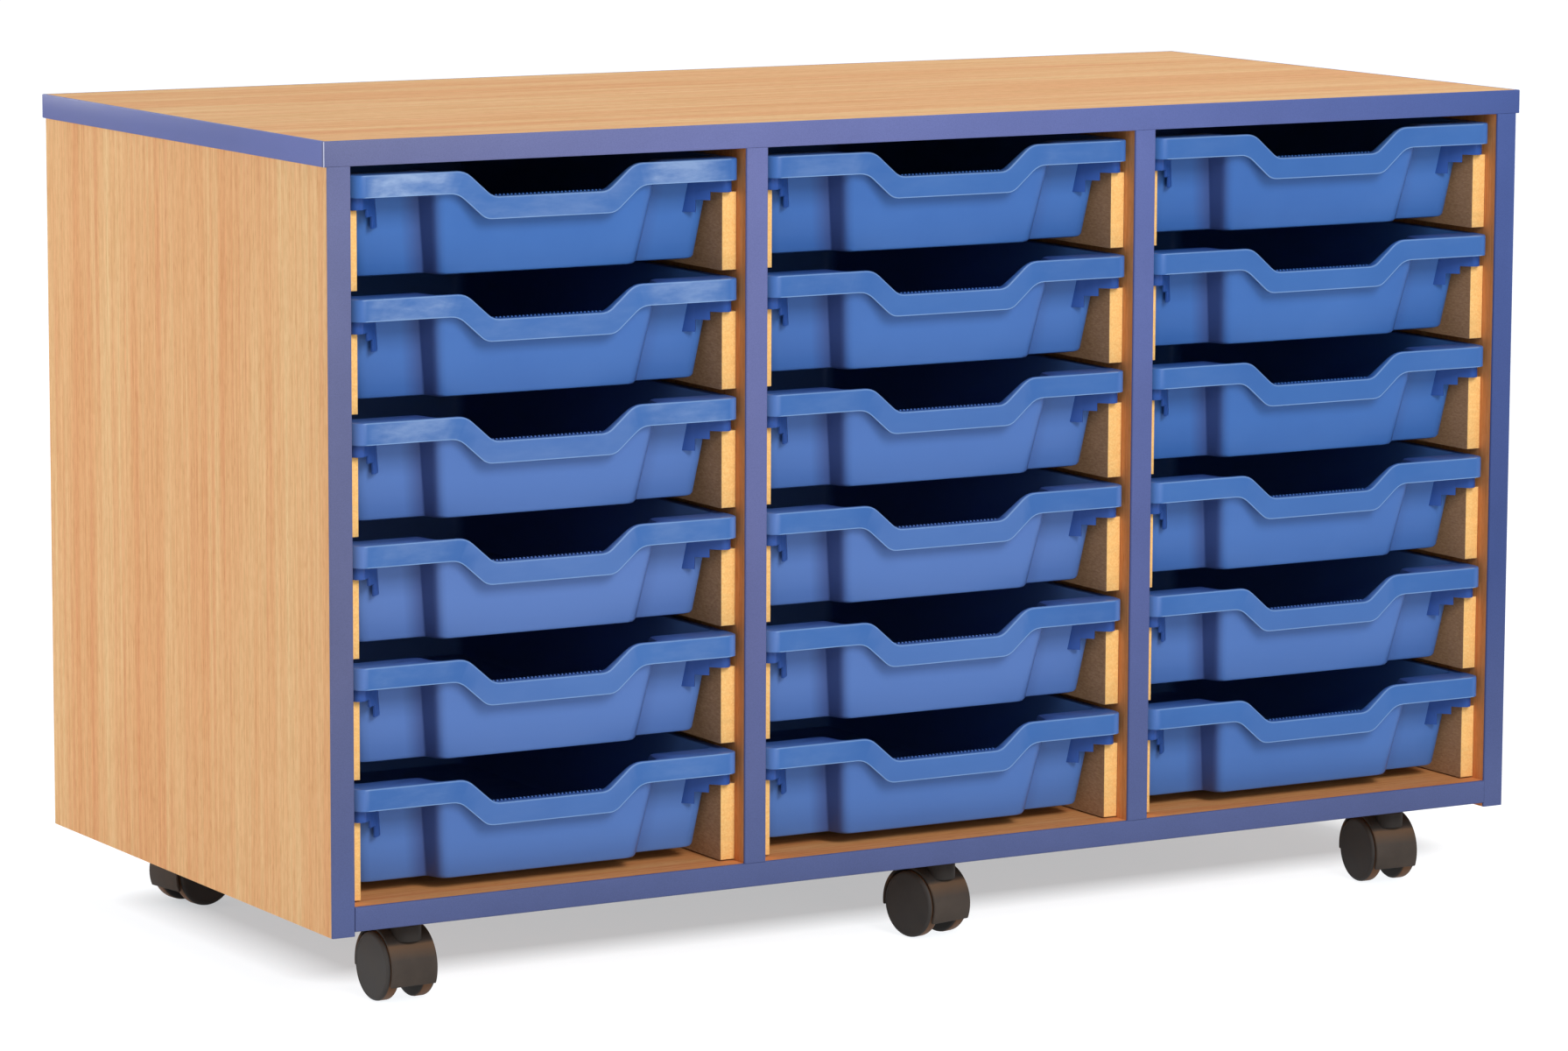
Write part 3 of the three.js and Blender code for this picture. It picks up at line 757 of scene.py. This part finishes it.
def tray_finish():
    """Blue plastic with a soft gloss and cloudy scuffs along the rim, painted highlights on its band's
    edges, and painted shade on the rim's front, beside the bulge, on the skirts and on the flange.
    """
    finish, tree, shader, place = new_finish("tray_plastic", 0.36)
    shader.inputs["Specular IOR Level"].default_value = 0.18
    cloud = stretched_noise(tree, place, (1, 1, 1), 7.0)
    body = ramp(tree, cloud, [
        (0.3, paint(59, 103, 172)),
        (0.5, paint(63, 108, 177)),
        (0.7, paint(68, 113, 182)),
    ])
    body = mixed(tree, mark_share(tree, "paler"), body, paint(92, 124, 187))
    # Painted shade beside the bulge.
    body = mixed(tree, mark_share(tree, "recess_shade"), body, paint(60, 72, 122))
    # Painted shade: a deeper blue on the skirts and the flange.
    body = mixed(tree, mark_share(tree, "deep_shade"), body, paint(30, 68, 146))
    # Painted shade: the rim's front is a shade deeper than the body.
    body = mixed(tree, mark_share(tree, "rim_shade"), body, RIM_SHADE_TONE, "MULTIPLY")
    scuffs = stretched_noise(tree, place, (0.45, 1.0, 1.5), 48.0, 5.0, 0.62)
    scuff_share = ramp(tree, scuffs, [(0.36, grey(0.12)), (0.5, grey(0.4)), (0.68, grey(0.95))])
    share = mixed(tree, 1.0, scuff_share, mark_share(tree, "band"), "MULTIPLY")
    color = mixed(tree, share, body, paint(147, 170, 206))
    # Painted highlight on the band's edges.
    color = mixed(tree, mark_share(tree, "edge_highlight"), color, paint(136, 170, 214))
    tree.links.new(color, shader.inputs["Base Color"])
    gloss = ramp(tree, scuffs, [(0.35, grey(0.3)), (0.7, grey(0.44))])
    tree.links.new(gloss, shader.inputs["Roughness"])
    fine = stretched_noise(tree, place, (1, 1, 1), 1100.0, 2.0)
    bump(tree, shader, fine, 0.06, FLECK_RELIEF)
    return finish


tray_plastic = tray_finish()
WEAR = {"left": (1.0, 0.7, 0.5, 0.25, 0.2, 0.2), "middle": (0.2, 0.1, 0.1, 0.1, 0.1, 0.1),
        "right": (0.05, 0.05, 0.05, 0.05, 0.05, 0.05)}
# How much paler the blue of each tray is, row by row from the top.
PALER = {"left": (0.0, 0.2, 0.7, 0.95, 0.8, 0.6), "middle": (0.05, 0.2, 0.5, 0.75, 0.75, 0.5),
         "right": (0.0, 0.0, 0.0, 0.25, 0.5, 0.3)}


def set_copy(model, name, place):
    """A copy of a model, with its place in its mesh."""
    piece = model.copy()
    piece.data = model.data.copy()
    piece.name = name
    bpy.context.scene.collection.objects.link(piece)
    piece.data.transform(place)
    return piece


for bay in ("left", "middle", "right"):
    for row, (wear, paleness) in enumerate(zip(WEAR[bay], PALER[bay]), start=1):
        node = f"{bay}_tray_{row}"
        low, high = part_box(node)
        place = Matrix.Translation(((low.x + high.x) / 2, low.y, high.z))
        piece = set_copy(tray, f"{bay}_moulded_tray_{row}", place)
        for mark in piece.data.attributes["band"].data:
            mark.value *= wear
        for mark in piece.data.attributes["paler"].data:
            mark.value *= paleness
        finish_piece(piece, tray_plastic, node, "tray_plastic", node)
bpy.data.objects.remove(tray)


# Castors. Twin-wheel furniture castors of brownish black nylon: a hood arches over both wheels, which
# spin on an axle in it, and it swivels on a plated stem that is pushed up into the bottom board.
# Sizes in millimetres.
WHEEL_RADIUS, WHEEL_WIDTH, WHEEL_SPACING = 25.2, 10.5, 19.5
OUTER_ROUND, INNER_ROUND, TREAD_DEPTH, TREAD_MARGIN = 2.6, 2.2, 0.6, 1.8
DISC_INSET, GROOVE_WIDTH, GROOVE_DEPTH, DISC_RISE = 0.8, 0.5, 0.5, 0.4
HOOD_RADIUS, HOOD_WIDTH, HOOD_SKIN = 29.0, 37.0, 2.4
HOOD_FOOT, FOOT_RISE, HOOD_ROUND = 8.4, 0.138, 1.0
CORE_WIDTH, CORE_INSET, CORE_LIFT, CORE_ROUND = 18.3, 0.6, 0.4, 0.6
TRAIL, AXLE_RADIUS, AXLE_END = 15.0, 3.0, 1.0
BOSS_RADIUS, BOSS_FOOT, BOSS_TOP, BOSS_ROUND = 11.0, 20.0, 32.2, 0.8
CASTOR_CREASE = 32


def start_round(name, radius, length, centre, along_x, sides, caps="NGON"):
    """A round bar in millimetres, along x or upright, with its place in its mesh."""
    bpy.ops.object.select_all(action="DESELECT")
    turn = (0, math.pi / 2, 0) if along_x else (0, 0, 0)
    bpy.ops.mesh.primitive_cylinder_add(
        vertices=sides, radius=radius * MM, depth=length * MM, end_fill_type=caps,
        location=[c * MM for c in centre], rotation=turn)
    bpy.ops.object.transform_apply(location=True, rotation=True, scale=True)
    piece = bpy.context.active_object
    piece.name = name
    return piece


def ring_edge(x, radius):
    """A rule for the edges of a circle about the x axis."""
    def on_circle(a, b):
        return all(abs(end.x - x * MM) < NEAR and
                   abs(math.hypot(end.y, end.z) - radius * MM) < NEAR for end in (a, b))
    return on_circle


def wheel_side(side):
    """One wheel: a rounded tread, and a flat outer disc with a thin groove round it."""
    inner = WHEEL_SPACING / 2
    outer = inner + WHEEL_WIDTH
    wheel = start_round("wheel", WHEEL_RADIUS, WHEEL_WIDTH, (side * (inner + outer) / 2, 0, 0), True, 56)
    round_edges(wheel, ring_edge(side * outer, WHEEL_RADIUS), OUTER_ROUND * MM, 5)
    round_edges(wheel, ring_edge(side * inner, WHEEL_RADIUS), INNER_ROUND * MM, 4)

    def outer_disc(face):
        return face.normal.x * side > 0.9 and abs(face.center.x - side * outer * MM) < NEAR

    pick(wheel, "FACE", outer_disc)
    for inset, step in ((DISC_INSET, -GROOVE_DEPTH), (GROOVE_WIDTH, DISC_RISE)):
        bpy.ops.mesh.inset(thickness=inset * MM)
        bpy.ops.mesh.extrude_region_move(TRANSFORM_OT_translate={"value": (side * step * MM, 0, 0)})
    bpy.ops.object.mode_set(mode="OBJECT")
    return wheel


axle = start_round("axle", AXLE_RADIUS, WHEEL_SPACING + 2 * AXLE_END, (0, 0, 0), True, 24)
wheels_model = join_pieces("wheels_model", [wheel_side(-1), wheel_side(1), axle])
smooth(wheels_model, CASTOR_CREASE)
tread_mark = wheels_model.data.attributes.new("tread", "FLOAT", "POINT")
tread_end = (WHEEL_SPACING / 2 + WHEEL_WIDTH - TREAD_MARGIN) * MM
for index, vertex in enumerate(wheels_model.data.vertices):
    from_axle = math.hypot(vertex.co.y, vertex.co.z)
    on_tread = from_axle > (WHEEL_RADIUS - TREAD_DEPTH) * MM and abs(vertex.co.x) < tread_end
    tread_mark.data[index].value = float(on_tread)


def cut_foot(piece, z, closed):
    """Cuts off what lies below the hood's foot, which rises towards the back, and may close the cut."""
    choose(piece)
    bpy.ops.object.mode_set(mode="EDIT")
    bpy.ops.mesh.select_all(action="SELECT")
    bpy.ops.mesh.bisect(plane_co=(0, 0, z * MM), plane_no=(0, -FOOT_RISE, 1), use_fill=closed,
                        clear_inner=True)
    bpy.ops.object.mode_set(mode="OBJECT")


arch = start_round("arch", HOOD_RADIUS, HOOD_WIDTH, (0, 0, 0), True, 72, "NOTHING")
cut_foot(arch, -HOOD_FOOT, False)
apply_modifier(arch, "SOLIDIFY", thickness=HOOD_SKIN * MM, offset=-1, use_even_offset=True)
soften(arch, HOOD_ROUND, 3)
core = start_round("core", HOOD_RADIUS - CORE_INSET, CORE_WIDTH, (0, 0, 0), True, 72)
cut_foot(core, CORE_LIFT - HOOD_FOOT, True)
soften(core, CORE_ROUND, 2)
boss_middle = (0, -TRAIL, (BOSS_TOP + BOSS_FOOT) / 2)
boss = start_round("boss", BOSS_RADIUS, BOSS_TOP - BOSS_FOOT, boss_middle, False, 40)
soften(boss, BOSS_ROUND, 3)
hood_model = join_pieces("hood_model", [arch, core, boss])
smooth(hood_model, CASTOR_CREASE)
HOOD_CREST, LIT_BELOW, LIT_ABOVE = 45 * MM, 12 * MM, 2 * MM


def castor_finish(name, dark, light, roughness, crest=0.0):
    """Black nylon with a brown cast, a fine moulded grain and browner treads. A hood has a painted brown
    highlight just below the height of its crest, and a painted black shadow above it, as the photograph
    shows it."""
    finish, tree, shader, place = new_finish(name, roughness)
    shader.inputs["Specular IOR Level"].default_value = 0.1
    cloud = stretched_noise(tree, place, (1, 1, 1), 45.0)
    color = ramp(tree, cloud, [(0.35, dark), (0.7, light)])
    color = mixed(tree, mark_share(tree, "tread"), color, paint(112, 82, 60))
    if crest:
        height = axis_values(tree, place)[2]
        # Painted light: a brown highlight below the hood's crest, and the board's shadow painted black
        # above it.
        upwards = map_range(tree, height, crest - LIT_BELOW, crest + LIT_ABOVE, 0.0, 1.0)
        lit_band = ramp(tree, upwards, [(0.0, grey(0.0)), (0.7, grey(0.7)), (0.86, grey(0.0))])
        color = mixed(tree, lit_band, color, paint(104, 80, 60))
        board_shadow = ramp(tree, upwards, [(0.7, grey(0.0)), (0.9, grey(1.0))])
        color = mixed(tree, board_shadow, color, paint(49, 46, 44))
    tree.links.new(color, shader.inputs["Base Color"])
    gloss = ramp(tree, cloud, [(0.3, grey(roughness - 0.06)), (0.7, grey(roughness + 0.1))])
    tree.links.new(gloss, shader.inputs["Roughness"])
    grain = stretched_noise(tree, place, (1, 1, 1), 1400.0, 2.0)
    bump(tree, shader, grain, 0.12, FLECK_RELIEF)
    return finish


hood_nylon = castor_finish("hood_nylon", paint(66, 59, 54), paint(76, 68, 62), 0.62, HOOD_CREST)
wheel_nylon = castor_finish("wheel_nylon", paint(57, 55, 54), paint(66, 63, 61), 0.5)


def zinc_finish():
    """Steel plated dark, with a dull bloom."""
    finish, tree, shader, place = new_finish("zinc_plated_steel", 0.45)
    shader.inputs["Metallic"].default_value = 1.0
    bloom = stretched_noise(tree, place, (1, 1, 1), 120.0)
    color = ramp(tree, bloom, [(0.35, paint(72, 72, 74)), (0.65, paint(96, 96, 98))])
    tree.links.new(color, shader.inputs["Base Color"])
    gloss = ramp(tree, bloom, [(0.3, grey(0.38)), (0.7, grey(0.55))])
    tree.links.new(gloss, shader.inputs["Roughness"])
    return finish


zinc_plated_steel = zinc_finish()
COLLAR_RADIUS, COLLAR_THICKNESS = 9.0, 3.0
STEM_RADIUS, STEM_REACH, STEM_RISE = 4.0, 15.4, 14.0
COLLAR_ROUND, STEM_ROUND = 0.6, 1.0
collar = start_round("collar", COLLAR_RADIUS, COLLAR_THICKNESS, (0, 0, COLLAR_THICKNESS / 2), False, 40)
soften(collar, COLLAR_ROUND, 3)
pin_top = COLLAR_THICKNESS + STEM_RISE
pin = start_round("pin", STEM_RADIUS, STEM_REACH + pin_top, (0, 0, (pin_top - STEM_REACH) / 2), False, 28)
soften(pin, STEM_ROUND, 2)
stem_model = join_pieces("stem_model", [collar, pin])
smooth(stem_model, CASTOR_CREASE)

joints = {joint["name"]: joint for joint in frame["joints"]}
for row in ("front", "rear"):
    for column in ("left", "middle", "right"):
        castor = f"{row}_{column}_castor"
        roll, turn = joints[castor + "_roll"], joints[castor + "_turn"]
        facing = Matrix.Rotation(math.atan2(roll["axis"][1], roll["axis"][0]), 4, "Z")
        on_axle = Matrix.Translation(roll["pos_m"]) @ facing
        under_board = Matrix.Translation(turn["pos_m"])
        for model, part, place, body, finish, slot in (
            (stem_model, "stem", under_board, "carcass", zinc_plated_steel, "stem_steel"),
            (hood_model, "hood", on_axle, castor + "_swivel", hood_nylon, "castor_plastic"),
            (wheels_model, "wheels", on_axle, castor + "_wheel_pair", wheel_nylon, "castor_plastic"),
        ):
            stuff = "zinc" if part == "stem" else "nylon"
            piece = set_copy(model, f"{castor}_{stuff}_{part}", place)
            finish_piece(piece, finish, body, slot, f"{castor}_{part}")
for model in (stem_model, hood_model, wheels_model):
    bpy.data.objects.remove(model)


# Floor, light and camera. A plain floor that the camera sees as white, large soft lamps, and the long
# lens of the photograph, from the left of the unit and a little above it. The floor takes the unit's
# shadow, and its own white is dimmed in a soft patch under the unit, a painted shadow over the real one.
FLOOR_SIZE, FLOOR_GAP = 40, 0.5 * MM
bpy.ops.object.select_all(action="DESELECT")
bpy.ops.mesh.primitive_plane_add(size=FLOOR_SIZE, location=(0, 0, -FLOOR_GAP))
floor = bpy.context.active_object
floor.name = "studio_floor"
floor_white, tree, shader, place = new_finish("floor_white", 0.9)
shader.inputs["Specular IOR Level"].default_value = 0.0
FLOOR_WHITE = (0.975, 1.0, 1.025, 1.0)
shader.inputs["Emission Color"].default_value = FLOOR_WHITE
SHADE_CENTRE, SHADE_HALF, SHADE_FADE = (0.042, 0.046, 0.0), (0.468, 0.138, 0.0), 0.06
SHADE_LEVEL, NEAR_LEVEL, FAR_LEVEL = 0.47, 0.9, 1.0
FAR_START, FAR_END = 1.0, 3.2
BOUNCE_TONE, SEEN_TONE = 0.75, 0.25


def seen_share(tree):
    """1 on what the camera sees directly, in a reflection or through glass, and 0 for other light."""
    seen = tree.nodes.new("ShaderNodeLightPath")
    share = seen.outputs["Is Camera Ray"]
    for ray in ("Is Glossy Ray", "Is Transmission Ray"):
        share = math_step(tree, "MAXIMUM", share, seen.outputs[ray])
    return share


def vector_step(tree, operation, value, *constant):
    """One step of vector arithmetic on a socket, with a constant where it takes one."""
    step = tree.nodes.new("ShaderNodeVectorMath")
    step.operation = operation
    tree.links.new(value, step.inputs[0])
    if constant:
        step.inputs[1].default_value = constant[0]
    return step.outputs["Value"] if operation == "LENGTH" else step.outputs["Vector"]


seen = seen_share(tree)
# Painted shadow: the floor's glow is dimmed in a soft box under the unit.
outside = vector_step(tree, "ABSOLUTE", vector_step(tree, "SUBTRACT", place, SHADE_CENTRE))
outside = vector_step(tree, "MAXIMUM", vector_step(tree, "SUBTRACT", outside, SHADE_HALF), (0, 0, 0))
under = map_range(tree, vector_step(tree, "LENGTH", outside), 0.0, SHADE_FADE, SHADE_LEVEL, NEAR_LEVEL)
from_unit = vector_step(tree, "LENGTH", place)
beyond = map_range(tree, from_unit, FAR_START, FAR_END, 0.0, FAR_LEVEL - NEAR_LEVEL)
glow = math_step(tree, "MULTIPLY", math_step(tree, "ADD", under, beyond), seen)
tree.links.new(glow, shader.inputs["Emission Strength"])
tone = map_range(tree, seen, 0.0, 1.0, BOUNCE_TONE, SEEN_TONE)
tree.links.new(tone, shader.inputs["Base Color"])
floor.data.materials.append(floor_white)

world = bpy.data.worlds.new("studio")
bpy.context.scene.world = world
world.use_nodes = True
tree = world.node_tree
background = tree.nodes["Background"]
WORLD_LIGHT, WORLD_SEEN = 0.22, 1.0
strength = map_range(tree, seen_share(tree), 0.0, 1.0, WORLD_LIGHT, WORLD_SEEN)
tree.links.new(strength, background.inputs["Strength"])
background.inputs["Color"].default_value = (1.0, 1.0, 1.0, 1.0)


def add_lamp(name, place, aim, size, power):
    """A square soft lamp that faces a point."""
    lamp = bpy.data.lights.new(name, "AREA")
    lamp.size = size
    lamp.energy = power
    holder = bpy.data.objects.new(name, lamp)
    bpy.context.scene.collection.objects.link(holder)
    holder.location = place
    holder.rotation_euler = (Vector(aim) - Vector(place)).to_track_quat("-Z", "Y").to_euler()


add_lamp("key_lamp", (-0.2, -4.3, 3.0), (0, 0, 0.3), 1.8, 148)
add_lamp("front_lamp", (-0.4, -5.2, 0.9), (0, 0, 0.3), 2.0, 54)
add_lamp("top_lamp", (1.1, 0.5, 3.2), (0.3, 0.1, 0.6), 2.4, 34)
add_lamp("left_lamp", (-3.3, 0.6, 0.6), (-0.5, 0.1, 0.3), 1.8, 52)
add_lamp("right_lamp", (3.4, 0.9, 0.8), (0.5, 0.1, 0.3), 1.8, 34)
add_lamp("back_lamp", (-1.1, 3.6, 1.4), (0, 0.2, 0.3), 1.8, 40)

PIXEL_FOCUS, PIXEL_WIDTH, SENSOR = 7060.55, 1791.0, 36.0
AZIMUTH, ELEVATION, ROLL = (math.radians(a) for a in (-30.355, 8.370, 0.2326))
TARGET = Vector((-2.87, 0.0, 285.65)) * MM
DISTANCE = 4796.15 * MM
lens = bpy.data.cameras.new("photo_camera")
lens.sensor_width = SENSOR
lens.lens = PIXEL_FOCUS / PIXEL_WIDTH * SENSOR
lens.clip_end = 100
camera = bpy.data.objects.new("photo_camera", lens)
bpy.context.scene.collection.objects.link(camera)
away = Vector((math.sin(AZIMUTH) * math.cos(ELEVATION), -math.cos(AZIMUTH) * math.cos(ELEVATION),
               math.sin(ELEVATION)))
level_right = (-away).cross(Vector((0, 0, 1))).normalized()
level_up = level_right.cross(-away)
right = level_right * math.cos(ROLL) + level_up * math.sin(ROLL)
up = level_up * math.cos(ROLL) - level_right * math.sin(ROLL)
camera.matrix_world = Matrix.Translation(TARGET + away * DISTANCE) @ Matrix(
    (right, up, away)).transposed().to_4x4()
bpy.context.scene.camera = camera
bpy.context.scene.view_settings.view_transform = "Standard"
